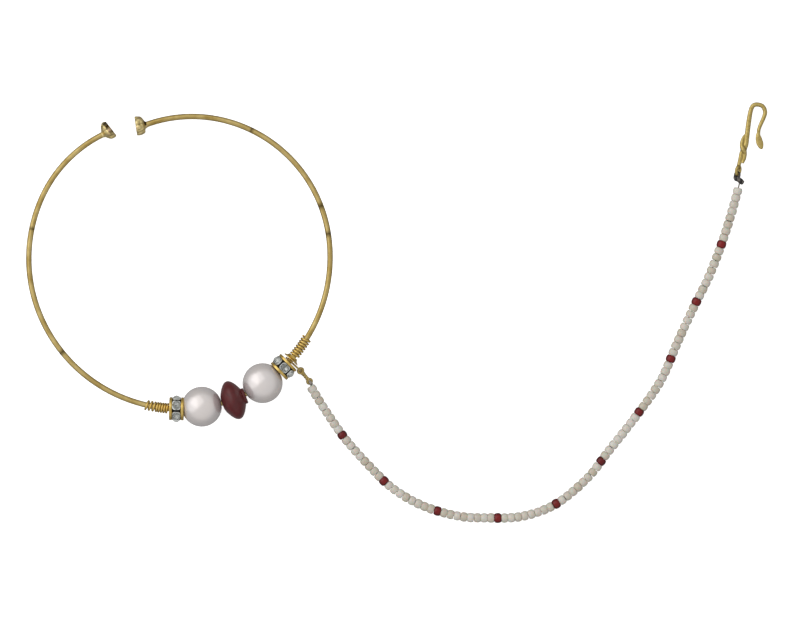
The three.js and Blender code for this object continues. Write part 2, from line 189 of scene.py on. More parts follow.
def sweep(path, size, sides=16, closed=False, upright=False):
    """A closed shell: an oval carried along a path. size is its diameter, or its width and height at each
    point. Its grain runs along the path."""
    path = np.array(path, float)
    count = len(path)
    sizes = np.array(size, float) * np.ones((count, 2)) if np.ndim(size) < 2 else np.array(size)
    ahead = np.roll(path, -1, 0) - np.roll(path, 1, 0) if closed else np.gradient(path, axis=0)
    ahead /= np.linalg.norm(ahead, axis=1)[:, None]
    flat = np.cross(ahead[0], (0, 0, 1))
    side = flat if np.linalg.norm(flat) > 0.1 else np.cross(ahead[0], (0, 1, 0))
    round_it = circle(sides)
    points, grain, along = [], [], 0
    for i in range(count):
        side = np.cross(ahead[i], (0, 0, 1)) if upright else side - ahead[i] * (side @ ahead[i])
        side = side / np.linalg.norm(side)
        up = np.cross(side, ahead[i])
        along += np.linalg.norm(path[i] - path[i - 1]) if i else 0
        across = sizes[i][0] / 2 * np.cos(round_it)
        above = sizes[i][1] / 2 * np.sin(round_it)
        points.extend(path[i] + across[:, None] * side + above[:, None] * up)
        grain.extend(np.column_stack((np.full(sides, along), across, above)))
    turn = lambda i, k: (i % count) * sides + k % sides
    faces = [
        (turn(i, k), turn(i, k + 1), turn(i + 1, k + 1), turn(i + 1, k))
        for i in range(count if closed else count - 1)
        for k in range(sides)
    ]
    if not closed:
        faces.append(tuple(range(sides))[::-1])
        faces.append(tuple(range((count - 1) * sides, count * sides)))
    return {"points": np.array(points), "faces": faces, "grain": np.array(grain)}


def build(name, shells, materials, replaced=(), crisp=None):
    """One piece from closed shells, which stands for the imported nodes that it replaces."""
    mesh = bpy.data.meshes.new(name)
    starts = np.cumsum([0] + [len(shell["points"]) for shell in shells])
    faces = [[start + i for i in face] for start, shell in zip(starts, shells) for face in shell["faces"]]
    mesh.from_pydata(np.concatenate([shell["points"] for shell in shells]).tolist(), [], faces)
    mesh.polygons.foreach_set("use_smooth", [crisp != 0] * len(faces))
    if crisp:
        mesh.set_sharp_from_angle(angle=math.radians(crisp))
    for key in ("grain", "stain", "blush", "tone"):
        if any(key in shell for shell in shells):
            kind, field, wide = ("FLOAT_VECTOR", "vector", 3) if key == "grain" else ("FLOAT", "value", 1)
            values = [shell.get(key, np.zeros((len(shell["points"]), wide))).ravel() for shell in shells]
            mesh.attributes.new(key, kind, "POINT").data.foreach_set(field, np.concatenate(values))
    for material in materials:
        mesh.materials.append(material)
    slots = [shell.get("slot", 0) for shell in shells for _ in shell["faces"]]
    mesh.polygons.foreach_set("material_index", slots)
    piece = bpy.data.objects.new(name, mesh)
    bpy.context.scene.collection.objects.link(piece)
    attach(piece, "root")
    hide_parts(*replaced)
    return piece


hoop_places = np.linspace(-hoop_length("left"), hoop_length("right"), HOOP_STEPS)
hoop_wire = sweep([RING @ hoop_at(d)[0] for d in hoop_places], HOOP_WIRE, HOOP_SIDES)
hoop_wire["stain"] = np.zeros(len(hoop_wire["points"]))
for number, (spot, size) in enumerate(HOOP_SPOTS):
    away = (np.repeat(hoop_places, HOOP_SIDES) / MM - spot) / size
    # Each spot sits on its own side of the wire's top
    lean = hoop_wire["grain"][:, 2] + (-1) ** number * 0.5 * hoop_wire["grain"][:, 1]
    hoop_wire["stain"] += SPOT_DEPTH * np.exp(-away ** 2) * (lean > 0.1 * MM)
build("hoop_wire", [hoop_wire], [drawn_gilt()], ["hoop"])

# End cups: small flower-like brass cups, cast, gilded and soldered on the wire's ends with their flat
# faces to the nostril. The casting left them lumpy, and the solder a dark spot on the right one. Their
# colour also holds painted shade in the creases, the hollows between lumps and the pocket round the stone.
CUP_TURN = math.radians(12)
CUP_PETALS = 7
# Half profile from the neck, over the back and rim, to the bottom of the pocket for the stone
CUP_PROFILE = (
    (0, -0.62), (0.3, -0.62), (0.5, -0.5), (0.6, -0.28), (0.76, -0.04), (1.08, 0.16), (1.5, 0.42),
    (1.79, 0.78), (1.92, 1.2), (1.92, 1.55), (1.84, 1.8), (1.68, 1.88), (1.42, 1.86), (1.33, 1.76),
    (1.28, 1.3), (1.15, 1.17), (0, 1.15),
)
# Near-black brown: painted shade in the cups' creases and pocket, and the solder's real dark spot
CUP_SHADE_AND_STAIN = 0x33240F
CUP_BLUSH = 0xC9A08A


def worn_gilt(name, light, dark):
    """Worn gilding: a lumpy gloss, copper-pink where the brass comes through. Where a piece asks for it, its
    colour is darkened for stains and for painted shade in creases, and turned pink by a painted glint.
    """
    material = new_material(name, {"Metallic": 1})
    lump, grit = 0.5 * MM, 0.12 * MM
    place = add(material, "TexCoord", result="Object")
    lumps = add(material, "TexNoise", {"Scale": 1 / lump, "Detail": 3.0}, {"Vector": place})
    grits = add(material, "TexNoise", {"Scale": 1 / grit, "Detail": 2.0}, {"Vector": place})
    gilt = add(material, "Mix", {"data_type": "RGBA", 6: linear(light), 7: linear(dark)}, {0: lumps}, 2)
    worn = add(material, "MapRange", {"From Min": 0.56, "From Max": 0.66}, {"Value": grits})
    blush = add(material, "Attribute", {"attribute_name": "blush"}, result="Fac")
    some = {"operation": "MULTIPLY_ADD", 1: 0.35}
    pink = add(material, "Math", {**some, "use_clamp": True}, {0: worn, 2: blush})
    rosy = add(material, "Mix", {"data_type": "RGBA", 7: linear(CUP_BLUSH)}, {0: pink, 6: gilt}, 2)
    stain = add(material, "Attribute", {"attribute_name": "stain"}, result="Fac")
    colour = add(material, "Mix", {"data_type": "RGBA", 7: linear(CUP_SHADE_AND_STAIN)}, {0: stain, 6: rosy}, 2)
    rough = add(material, "MapRange", {"To Min": 0.22, "To Max": 0.5}, {"Value": lumps})
    rise = add(material, "Math", some, {0: grits, 2: lumps})
    bump = add(material, "Bump", {"Strength": 0.6, "Distance": 0.06 * MM}, {"Height": rise})
    return feed(material, {"Base Color": colour, "Roughness": rough, "Normal": bump})


def rounded(points, steps):
    """A smooth curve through points, with steps between each two and its ends carried on straight."""
    p = np.array(points, float)
    p = np.vstack((2 * p[0] - p[1], p, 2 * p[-1] - p[-2]))
    t = np.linspace(0, 1, steps, endpoint=False)[:, None]
    curve = []
    for a, b, c, d in zip(p, p[1:], p[2:], p[3:]):
        curve.extend(b + (c - a) * t / 2 + (2 * a - 5 * b + 4 * c - d) * t ** 2 / 2
                     + (3 * b - a - 3 * c + d) * t ** 3 / 2)
    return np.array(curve + [p[-2]])


def lathe(profile, sides=64, closed=False):
    """A shell turned round its own Y axis from (radius, y) points. A closed profile makes a ring."""
    points, faces, row = [], [], []
    for radius, y in profile:
        on_axis = radius < 1e-9 and not closed
        row.append((len(points), on_axis))
        for angle in circle(sides)[:1] if on_axis else circle(sides):
            points.append((radius * math.sin(angle), y, radius * math.cos(angle)))
    for (low, low_tip), (high, high_tip) in zip(row, row[1:] + row[:1] if closed else row[1:]):
        for k in range(sides):
            n = (k + 1) % sides
            if low_tip:
                faces.append((low, high + n, high + k))
            elif high_tip:
                faces.append((low + k, low + n, high))
            else:
                faces.append((low + k, low + n, high + n, high + k))
    points = np.array(points)
    return {"points": points, "faces": faces, "grain": points[:, [1, 0, 2]]}


def placed(shell, matrix):
    """A shell moved to its place."""
    turn = np.array(matrix.to_3x3())
    return {**shell, "points": shell["points"] @ turn.T + np.array(matrix.translation)}


def facing(point, heading):
    """Place in the ring's plane whose own +Y runs along a heading."""
    return RING @ Matrix.Translation(point) @ Matrix.Rotation(heading - math.pi / 2, 4, "Z")


def hoop_end(side):
    """Place of an end cup: its origin at the wire's end and its face towards +Y."""
    point, heading = hoop_at(SIGN[side] * hoop_length(side))
    outward = heading + (math.pi if side == "left" else 0)
    return facing(point, outward - SIGN[side] * CUP_TURN)


def cup_shell(side):
    shell = lathe(rounded(CUP_PROFILE, 7) * MM, 112)
    points = shell["points"]
    x, y, z = points.T / MM
    angle = np.arctan2(x, z)
    bell = np.clip((y - 0.05) / 0.45, 0, 1) * np.clip((np.hypot(x, z) - 0.8) / 0.5, 0, 1)
    # The petals bulge most a third of the way to the rim, and lean a little round the cup
    petal = np.abs(np.cos(CUP_PETALS * angle / 2 + SIGN[side] * (0.5 + 0.5 * y))) ** 0.6
    shift = 40 * SIGN[side]
    lumps, fine = (
        np.array([noise.noise(Vector((a + move, b, c)) * per_mm) for a, b, c in points / MM])
        for move, per_mm in ((shift, 1.5), (-shift, 4))
    )
    # The right cup's lower petals bulge further back than its upper ones
    back = np.clip(1 - y / 1.4, 0, 1) * (0.4 * np.clip(-np.sin(angle), 0, 1) if side == "right" else 0)
    grow = 1 + bell * (0.1 * (petal - 0.86) + 0.08 * lumps + 0.03 * fine)
    shell["points"] = np.column_stack((x * grow, y - bell * back + 0.06 * bell * fine, z * grow)) * MM
    # Painted shade: darker in the creases between the petals, in the hollows between the lumps and in the
    # pocket round the stone
    crease_shade = np.clip(0.62 - petal, 0, 1)
    pocket = np.clip((y - 1.0) / 0.3, 0, 1) * (np.hypot(x, z) < 1.5)
    shell["stain"] = np.clip(bell * (crease_shade + np.clip(-lumps - 0.1, 0, 1) * 0.6) + 0.75 * pocket, 0, 1)
    shell["blush"] = np.clip(bell * (lumps - 0.2) * 1.5, 0, 0.5)
    if side == "left":
        # The front of the rim round the stone is painted darker, and a painted pink glint of the stone lies
        # over the rim
        front = np.clip((y - 1.0) / 0.2, 0, 1) * np.clip(2 - 1.6 * np.abs(angle + 0.35), 0, 1)
        glint = np.exp(-((angle - 0.05) / 0.2) ** 2) * np.clip((y - 1.1) / 0.15, 0, 1)
        shell["stain"] = np.clip(shell["stain"] + 0.9 * front, 0, 1) * (1 - 0.8 * glint)
        shell["blush"] = np.clip(shell["blush"] + 0.6 * glint, 0, 1)
    else:
        solder = np.exp(-((y + 0.12) / 0.24) ** 2) * np.clip(np.cos(angle - 0.9), 0, 1) ** 2
        shell["stain"] = np.clip(shell["stain"] + 2.5 * solder, 0, 1)
        shell["blush"] += np.exp(-((y + 0.5) / 0.15) ** 2) * 0.9
    return placed(shell, hoop_end(side))


cast_gilt = worn_gilt("cast_gilt_brass", 0xFFF0B8, 0xDCC070)
for side in SIDES:
    build(f"end_cup_{side}", [cup_shell(side)], [cast_gilt], ["hoop"])

# End stones: small pinkish grey cut stones, set in the cups with their tables level with the face.
# Light goes in through the crown and comes back from the foil behind.
CUP_STONE = {"width": 2.4, "table": 1.5, "crown": 0.25, "pavilion": 0.4}
CUP_STONE_AT = 1.65 * MM
GIRDLE = 0.05


def cut_glass(name, colour):
    """Clear pressed crystal, polished: it glints and lets the foil behind it shine through."""
    return new_material(name, {
        "Base Color": linear(colour), "Roughness": 0.03, "IOR": 1.56, "Transmission Weight": 1,
    })


def stone_foil(name, colour):
    """The silvered foil on a stone's back, a dull mirror with fine wrinkles."""
    material = new_material(name, {"Metallic": 1, "Base Color": linear(colour), "Roughness": 0.22})
    place = add(material, "TexCoord", result="Object")
    wrinkle = 0.2 * MM
    wrinkles = add(material, "TexNoise", {"Scale": 1 / wrinkle}, {"Vector": place})
    bump = add(material, "Bump", {"Strength": 0.3, "Distance": 0.02 * MM}, {"Height": wrinkles})
    return feed(material, {"Normal": bump})


def corners(radius, y, count, start):
    """Corners of a facet ring round the Y axis, the first one start corners round it."""
    turns = [2 * math.pi * (k + start) / count for k in range(count)]
    return [(radius * math.sin(turn), y, radius * math.cos(turn)) for turn in turns]


def cut_stone(width, table, crown, pavilion, length=None):
    """A brilliant cut: crown and foiled back in one closed shell, with its table towards +Y."""
    half = width / 2
    points = corners(table / 2, crown, 8, 0) + corners((half + table / 2) / 2, crown * 0.62, 8, 0.5)
    points += corners(half, 0, 16, 0) + corners(half, -GIRDLE, 16, 0)
    points += corners(half * 0.45, -GIRDLE - (pavilion - GIRDLE) * 0.62, 8, 0.5) + [(0, -pavilion, 0)]
    # First corners of the table, its star facets, the girdle's two edges, the back's facets, and the tip
    t, m, g, h, p, tip = 0, 8, 16, 32, 48, 56
    faces = [tuple(t + k for k in range(8))]
    back = []
    for k in range(8):
        n, b = (k + 1) % 8, (k - 1) % 8
        faces.append((t + k, m + k, t + n))
        faces.append((t + k, m + b, g + 2 * k, m + k))
        for one in (2 * k, 2 * k + 1):
            two = (one + 1) % 16
            faces.append((m + k, g + one, g + two))
            faces.append((g + one, h + one, h + two, g + two))
            back.append((h + one, p + k, h + two))
        back.append((h + 2 * k, p + b, tip, p + k))
    stretch = (length or width) / width
    return {"points": np.array(points) * (stretch, 1, 1) * MM, "faces": faces + back, "foil": len(back)}


def set_stone(name, node, shell, matrix, glass, foil):
    """A faceted stone in its place, its back facets foiled."""
    piece = build(name, [placed(shell, matrix)], [glass, foil], [node], crisp=0)
    clear = len(piece.data.polygons) - shell["foil"]
    piece.data.polygons.foreach_set("material_index", [0] * clear + [1] * shell["foil"])


smoky_glass = cut_glass("smoky_rose_crystal", 0xB9A6A6)
smoky_foil = stone_foil("smoky_stone_foil", 0x8C8080)
for side in SIDES:
    set_stone(f"end_stone_cut_{side}", f"end_stone_{side}", cut_stone(**CUP_STONE),
              hoop_end(side) @ Matrix.Translation((0, CUP_STONE_AT, 0)), smoky_glass, smoky_foil)

# Rondelles: two turned and gilded rims with a ring of foiled stones between them. Bars hold the
# stones apart, and one face is dished for the pearl beside it. The bars and the groove's floor are
# painted near black as painted shade between the stones.
RONDELLE = {"rim": 4.6, "width": 2.9, "groove": 3, "band": 1.76, "dish": 0.75, "edge": 0.13}
RONDELLE_BORE = 1.6
RONDELLE_TURN = {"left": math.radians(17), "right": math.radians(10)}
RONDELLE_STONE = {"width": 1.6, "length": 1.95, "table": 0.75, "crown": 0.42, "pavilion": 0.58}
RONDELLE_STONES = 6
RONDELLE_OVERALL = 5.24
# Half section of a stone's seat, as (radius, height) with the stone's girdle at height 0
RONDELLE_SEAT = ((0.7, -0.2), (0.72, -0.02), (0.78, 0.05), (0.83, 0.02), (0.86, -0.06), (0.84, -0.2))
RONDELLE_SEAT_STRETCH = 1.17
RONDELLE_SEAT_SQUARENESS = 4
BAR = {"width": 0.3, "top": 4.0}


def bright_gilt():
    """Turned and polished brass with a fresh, yellow gilding and faint turning marks."""
    material = new_material("bright_gilt_brass", {"Metallic": 1})
    patch, mark = 0.8 * MM, 0.05 * MM
    place = add(material, "TexCoord", result="Object")
    patches = add(material, "TexNoise", {"Scale": 1 / patch, "Detail": 2.0}, {"Vector": place})
    gilding = {"data_type": "RGBA", 6: linear(0xF0D484), 7: linear(0xC09A44)}
    gilt = add(material, "Mix", gilding, {0: patches}, 2)
    grain = add(material, "Attribute", {"attribute_name": "grain"}, result="Vector")
    finer = {"operation": "MULTIPLY", 1: (1 / mark, 1 / patch, 1 / patch)}
    fine = add(material, "VectorMath", finer, {0: grain})
    marks = add(material, "TexNoise", {"Scale": 1.0}, {"Vector": fine})
    rough = add(material, "MapRange", {"To Min": 0.14, "To Max": 0.34}, {"Value": marks})
    bump = add(material, "Bump", {"Strength": 0.25, "Distance": 0.01 * MM}, {"Height": marks})
    return feed(material, {"Base Color": gilt, "Roughness": rough, "Normal": bump})


def painted_groove_shade():
    """The floor and bars of the groove, near black: painted shade deep between the stones."""
    material = new_material("groove_shade_brass", {"Metallic": 0.6, "Base Color": linear(0x16120C)})
    place = add(material, "TexCoord", result="Object")
    speck = 0.15 * MM
    specks = add(material, "TexNoise", {"Scale": 1 / speck}, {"Vector": place})
    rough = add(material, "MapRange", {"To Min": 0.35, "To Max": 0.7}, {"Value": specks})
    return feed(material, {"Roughness": rough})


def strung_on(node, turned=False):
    """Place of a bead on the hoop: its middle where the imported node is, its own +Y along the wire."""
    centre = RING.inverted() @ middle(node)
    places = np.linspace(-20 * MM, 20 * MM, 4001)
    distance = min(places, key=lambda d: (hoop_at(d)[0] - centre).length)
    return distance, facing(centre, hoop_at(distance)[1] + (math.pi if turned else 0))


def rim_profile(low, high, outer, inner):
    """Section of one rim, from its outer face over rounded edges to the groove."""
    edge = RONDELLE["edge"]
    bend = [(edge * (1 - math.cos(a)), edge * (1 - math.sin(a))) for a in np.linspace(0, math.pi / 2, 5)]
    section = [(inner, low)] + [(outer - x, low + y) for x, y in reversed(bend)]
    return section + [(outer - x, high - y) for x, y in bend] + [(inner, high)]


def box_shell(size, centre, turn):
    """A block with its height along the radius, turned round the local Y axis."""
    ends = (-0.5, 0.5)
    block = np.array([(x, y, z) for x in ends for y in ends for z in ends]) * size + centre
    faces = [(0, 1, 3, 2), (4, 6, 7, 5), (0, 4, 5, 1), (2, 3, 7, 6), (0, 2, 6, 4), (1, 5, 7, 3)]
    shell = {"points": block * MM, "faces": faces, "grain": block * MM}
    return placed(shell, Matrix.Rotation(turn, 4, "Y"))


def stone_place(side, number):
    """Place of a stone's girdle in its rondelle, with its table outwards."""
    turn = Matrix.Rotation(2 * math.pi * number / RONDELLE_STONES + RONDELLE_TURN[side], 4, "Y")
    lift = (RONDELLE_OVERALL / 2 - RONDELLE_STONE["crown"]) * MM
    return turn @ Matrix.Translation((0, 0, lift)) @ Matrix.Rotation(math.pi / 2, 4, "X")


def rondelle(side):
    half, band, rim = RONDELLE["width"] / 2, RONDELLE["band"] / 2, RONDELLE["rim"] / 2
    groove, bore = RONDELLE["groove"] / 2, RONDELLE_BORE / 2
    _, place = strung_on(f"rondelle_{side}", side == "left")
    near = rim_profile(-half, -band, rim, groove - 0.1)
    dish = [(bore, RONDELLE["dish"] - half), (rim - 0.45, -half + 0.05), (rim - 0.3, -half)]
    near = lathe(np.array([(bore, -band)] + dish + near[1:]) * MM, 96, closed=True)
    far = lathe(np.array([(bore, band)] + rim_profile(band, half, rim, groove - 0.1)[1:-1]
                         + [(rim - 0.3, half), (bore, half - 0.1)]) * MM, 96, closed=True)
    inner, end = bore + 0.02, band + 0.05
    core = [(inner, -end), (groove, -end), (groove, end), (inner, end)]
    core = lathe(np.array(core) * MM, 64, closed=True)
    core["slot"] = 1
    shells = [near, far, core]
    for k in range(RONDELLE_STONES):
        turn = 2 * math.pi * (k + 0.5) / RONDELLE_STONES + RONDELLE_TURN[side]
        low, high = groove - 0.1, BAR["top"] / 2
        bar = box_shell((BAR["width"], 2 * band + 0.1, high - low), (0, 0, (high + low) / 2), turn)
        bar["slot"] = 1
        shells.append(bar)
    for k in range(RONDELLE_STONES):
        # Each stone sits in a seat of white metal that is oval inside and nearly square outside
        seat = lathe(np.array(RONDELLE_SEAT) * MM, 64, closed=True)
        x, y, z = seat["points"].T
        radius, power = np.hypot(x, z), RONDELLE_SEAT_SQUARENESS
        square = radius / (np.abs(x) ** power + np.abs(z) ** power) ** (1 / power)
        widen = np.where(radius > 0.8 * MM, square, 1)
        widen = np.column_stack((widen * RONDELLE_SEAT_STRETCH, np.ones(len(widen)), widen))
        seat["points"] = seat["points"] * widen
        seat["slot"] = 2
        shells.append(placed(seat, stone_place(side, k)))
    shells = [placed(shell, place) for shell in shells]
    metals = [polished_gilt, groove_shade_metal, silver_foil]
    build(f"rondelle_rims_{side}", shells, metals, [f"rondelle_{side}"], crisp=40)
    for k in range(RONDELLE_STONES):
        set_stone(f"rondelle_cut_{side}_{k + 1}", f"rondelle_{side}_stone_{k + 1}",
                  cut_stone(**RONDELLE_STONE), place @ stone_place(side, k), clear_glass, silver_foil)


polished_gilt = bright_gilt()
groove_shade_metal = painted_groove_shade()
clear_glass = cut_glass("clear_crystal", 0xF4F5F3)
silver_foil = stone_foil("silver_stone_foil", 0xC9CBC8)
for side in SIDES:
    rondelle(side)

# Pearls: imitation pearls, glass balls dipped in pearl lacquer until they gleam lilac grey. Each is
# drilled through, with a hole wider than the wire.
PEARL_BORE = 1.6 * MM
PEARL_HOLE_EDGE = 0.2 * MM


def pearl_lacquer():
    """Pearl lacquer: a satin body with a clear coat, and a slight shimmer that shifts from pink to blue."""
    material = new_material("pearl_lacquer", {
        "Metallic": 0.45, "Roughness": 0.24, "Coat Weight": 0.5, "Coat Roughness": 0.2, "IOR": 1.5,
    })
    place = add(material, "TexCoord", result="Object")
    cloud = 4 * MM
    clouds = add(material, "TexNoise", {"Scale": 1 / cloud, "Detail": 2.0}, {"Vector": place})
    shimmer = {"data_type": "RGBA", 6: linear(0xF0E6DF), 7: linear(0xE6E2E4)}
    return feed(material, {"Base Color": add(material, "Mix", shimmer, {0: clouds}, 2)})


lacquer = pearl_lacquer()
for side in SIDES:
    edge = math.asin(PEARL_LENGTH / PEARL)
    ball = [(PEARL / 2 * math.cos(a), PEARL / 2 * math.sin(a)) for a in np.linspace(-edge, edge, 60)]
    hole = [(PEARL_BORE / 2, end * (PEARL_LENGTH / 2 - PEARL_HOLE_EDGE)) for end in (1, -1)]
    _, place = strung_on(f"pearl_{side}")
    pearl = placed(lathe(ball + hole, 96, closed=True), place)
    build(f"pearl_ball_{side}", [pearl], [lacquer], [f"pearl_{side}"], crisp=60)

# Red bead: a saucer of dark red pressed glass with a soft rim. A short collar on its right side keeps
# it off the pearl. Its skin is satin, with a faint ridge where the mould closed.
SAUCER = {"thickness": 4.6, "bore": 2, "sag": 0.25}
# Half profile of one face, from beside the bore to the middle of the rim
SAUCER_FACE = ((1.1, 2.3), (1.8, 2.06), (2.6, 1.64), (3.25, 1.2), (3.79, 0.66), (4.02, 0))
COLLAR = {"diameter": 3.2, "length": 0.35}


def pressed_red_glass():
    """Dark red pressed glass with a satin skin: deep colour, and a greyish sheen under a broad light."""
    material = new_material("pressed_red_glass", {"Roughness": 0.32, "IOR": 1.5})
    place = add(material, "TexCoord", result="Object")
    swirl = 1.6 * MM
    twirled = {"Scale": 1 / swirl, "Detail": 3.0, "Distortion": 1.2}
    swirls = add(material, "TexNoise", twirled, {"Vector": place})
    reds = {"data_type": "RGBA", 6: linear(0x681216), 7: linear(0x42080B)}
    colour = add(material, "Mix", reds, {0: swirls}, 2)
    bump = add(material, "Bump", {"Strength": 0.2, "Distance": 0.05 * MM}, {"Height": swirls})
    return feed(material, {"Base Color": colour, "Normal": bump})


def saucer_shell():
    half, bore = SAUCER["thickness"] / 2, SAUCER["bore"] / 2
    collar, reach = COLLAR["diameter"] / 2, half + COLLAR["length"]
    far = [(radius, -y) for radius, y in SAUCER_FACE]
    outside = rounded(far + list(SAUCER_FACE[-2:0:-1]), 6).tolist()
    neck = [(collar + 0.02, 2.12), (collar, reach - 0.1), (collar - 0.1, reach), (bore, reach)]
    shell = lathe(np.array([(bore, -half)] + outside + neck) * MM, 96, closed=True)
    shell["points"][:, 0] += SAUCER["sag"] * MM
    return placed(shell, facing(strung_point(0, SAUCER["thickness"] * MM), hoop_at(0)[1]))


build("red_saucer", [saucer_shell()], [pressed_red_glass()], ["saucer_bead"], crisp=50)

# Coils: soft gilded wire wound on the hoop by hand, tight against the beads so that they can't slide.
# On the left the last turns lie further apart. The right coil holds the bead cap and the loop in place.
COIL_WIRE = 0.45 * MM
COIL = 2.16 * MM
COIL_WOBBLE = 0.04 * MM
COIL_STEPS = 36
COIL_SEED = 3
# Numbers of turns and their pitch in millimetres, from the beads outwards
COIL_TURNS = {"left": ((4.5, 0.5), (3, 0.7)), "right": ((7, 0.6),)}
HANGER_WIRE = 0.38 * MM
CAP = {"wide": 3.5, "narrow": 2, "length": 0.85, "hole": 1.44}
CLEARANCE = 0.1 * MM

rondelle_at = {side: strung_on(f"rondelle_{side}")[0] for side in SIDES}
face_at = {side: abs(rondelle_at[side]) + RONDELLE["width"] / 2 * MM for side in SIDES}
hanger_at = face_at["right"] + CLEARANCE + HANGER_WIRE / 2
cap_at = hanger_at + HANGER_WIRE / 2 + CLEARANCE
coil_at = {
    "left": face_at["left"] + CLEARANCE + COIL_WIRE / 2,
    "right": cap_at + CAP["length"] * MM + CLEARANCE + COIL_WIRE / 2,
}


def coil_shell(side):
    turns = sum(part[0] for part in COIL_TURNS[side])
    radius = (COIL - COIL_WIRE) / 2
    draw = random.Random(COIL_SEED)
    wobble = [draw.uniform(-1, 1) * COIL_WOBBLE for _ in range(int(turns) + 2)]
    path = []
    for wound in np.linspace(0, turns, int(turns * COIL_STEPS)):
        rest, distance = wound, coil_at[side]
        for count, pitch in COIL_TURNS[side]:
            distance += min(rest, count) * pitch * MM
            rest -= min(rest, count)
        distance += np.interp(wound, range(len(wobble)), wobble)
        point, heading = hoop_at(SIGN[side] * distance)
        angle = 2 * math.pi * wound
        inward = Vector((-math.sin(heading), math.cos(heading), 0))
        upward = Vector((0, 0, radius * math.sin(angle)))
        path.append(RING @ (point + inward * radius * math.cos(angle) + upward))
    return sweep(path, COIL_WIRE, 16)


for side in SIDES:
    build(f"wound_coil_{side}", [coil_shell(side)], [polished_gilt], [f"coil_{side}"])

# Bead cap: a small flared cap, spun from thin brass and gilded. It sits loose on the hoop's wire beside
# the loop that carries the chain, with its narrow end to the right coil.


def cap_shell():
    wide, narrow, hole = CAP["wide"] / 2, CAP["narrow"] / 2, CAP["hole"] / 2
    outside = rounded([(wide, 0.14), (1.58, 0.25), (1.25, 0.42), (1.08, 0.65), (narrow, CAP["length"])], 6)
    profile = [(hole, 0), (wide - 0.08, 0), (wide - 0.02, 0.03)] + outside.tolist() + [(hole, CAP["length"])]
    return placed(lathe(np.array(profile) * MM, 72, closed=True), facing(*hoop_at(cap_at)))


build("spun_cap", [cap_shell()], [polished_gilt], ["bead_cap"], crisp=50)

# Links: a closed loop of wire hangs on the hoop beside the rondelle, and a link of twisted wire hangs
# in it. The thread of the strand is tied in the link's lower eye.
HANGER = {"bend": 0.88, "straight": 2.55, "slope": math.radians(32)}
LINK_WIRE = 0.34 * MM
EYE_WIRE = 0.56 * MM
LINK = {"upper": 1.36, "lower": 1.26, "neck": 0.68, "plan": 2.75, "heading": math.radians(-50)}
STRAND = 1.94 * MM


def loop_path(bend, straight, steps=40, foot=None):
    """A closed loop with two round ends in its own XY plane: one end round the origin, one along +X."""
    foot = foot or bend
    half_turn = np.linspace(0, math.pi, steps)
    near = [(-foot * math.sin(a), foot * math.cos(a), 0) for a in half_turn]
    far = [(straight + bend * math.sin(a), -bend * math.cos(a), 0) for a in half_turn]
    return [Vector(p) for p in near + far]


hanger_place = facing(*hoop_at(hanger_at)) @ Matrix.Rotation(HANGER["slope"], 4, "Y")
hanger_place = hanger_place @ Matrix.Rotation(math.pi / 2, 4, "X")
hanger_path = loop_path(HANGER["bend"] * MM, HANGER["straight"] * MM)
hanger = sweep([hanger_place @ p for p in hanger_path], HANGER_WIRE, 16, closed=True)
link_gilt = worn_gilt("dull_gilt_brass", 0xDCC682, 0x9A8248)
build("hanger_wire", [hanger], [link_gilt], ["hanger_loop"])

upper_eye = hanger_place @ Vector(((HANGER["straight"] + HANGER["bend"]) * MM, 0, 0))
lower_eye = upper_eye + Vector((math.cos(LINK["heading"]), math.sin(LINK["heading"]), 0)) * LINK["plan"] * MM
lower_eye.z = STRAND / 2


def eye_radius(diameter):
    """Radius to the middle of an eye's wire. Bending has spread the eye by 0.1 mm all round."""
    return ((diameter + 0.2) * MM - EYE_WIRE) / 2


def eye_shell(diameter, centre):
    """A round eye of the link's wire in its own XY plane."""
    radius = eye_radius(diameter)
    ring = [(radius * math.cos(a) + centre, radius * math.sin(a), 0) for a in circle(32)]
    return sweep(ring, EYE_WIRE, 12, closed=True)


def link_shells():
    along = lower_eye - upper_eye
    start, end = (LINK["upper"] * MM - LINK_WIRE) / 2, along.length - (LINK["lower"] * MM - LINK_WIRE) / 2
    shells = [eye_shell(LINK["upper"], 0), eye_shell(LINK["lower"], along.length)]
    reach = (LINK["neck"] * MM - LINK_WIRE) / 2
    for strand in (0, math.pi):
        twist = [
            (x, reach * math.cos(a + strand), reach * math.sin(a + strand))
            for x, a in zip(np.linspace(start, end, 60), np.linspace(0, 3.5 * math.pi, 60))
        ]
        shells.append(sweep(twist, LINK_WIRE * 1.45, 12))
    # The cut end of the wire is wrapped once round the neck beside the upper eye
    wide = 1.25 * reach * 1.4
    wrap = [
        (start + (0.1 + 0.35 * share) * MM, wide * math.cos(a), wide * math.sin(a))
        for share, a in zip(np.linspace(0, 1, 40), np.linspace(0, 2.6 * math.pi, 40))
    ]
    shells.append(sweep(wrap, LINK_WIRE * 0.9, 12))
    forward = along.normalized()
    sideways = Vector((0, 0, 1)).cross(forward).normalized()
    place = Matrix((forward, sideways, forward.cross(sideways))).transposed().to_4x4()
    place.translation = upper_eye
    return [placed(shell, place) for shell in shells]


build("twisted_link", link_shells(), [link_gilt], ["chain_link"])

# Strand: 98 glass seed beads on a thread, eight pearly white ones and then a red one, over and over.
# Cut from drawn tube and tumbled hot, no two are quite alike.
STRAND_ROUTE = (
    (0.1, -0.8), (3.3, -6.0), (7.3, -11.7), (12.6, -17.6), (16.9, -21.6), (22.7, -24.9), (29.5, -26.9),
    (35.4, -27.3), (42.5, -27.0), (49.3, -24.5), (55.6, -19.3), (59.6, -14.2), (65.1, -7.2), (70.2, 0.1),
    (73.7, 8.1), (77.0, 15.2), (79.7, 20.6), (82.3, 27.2), (84.3, 33.4), (85.8, 38.8),
)
BEAD = {"diameter": 1.94, "length": 1.36, "hole": 0.6}
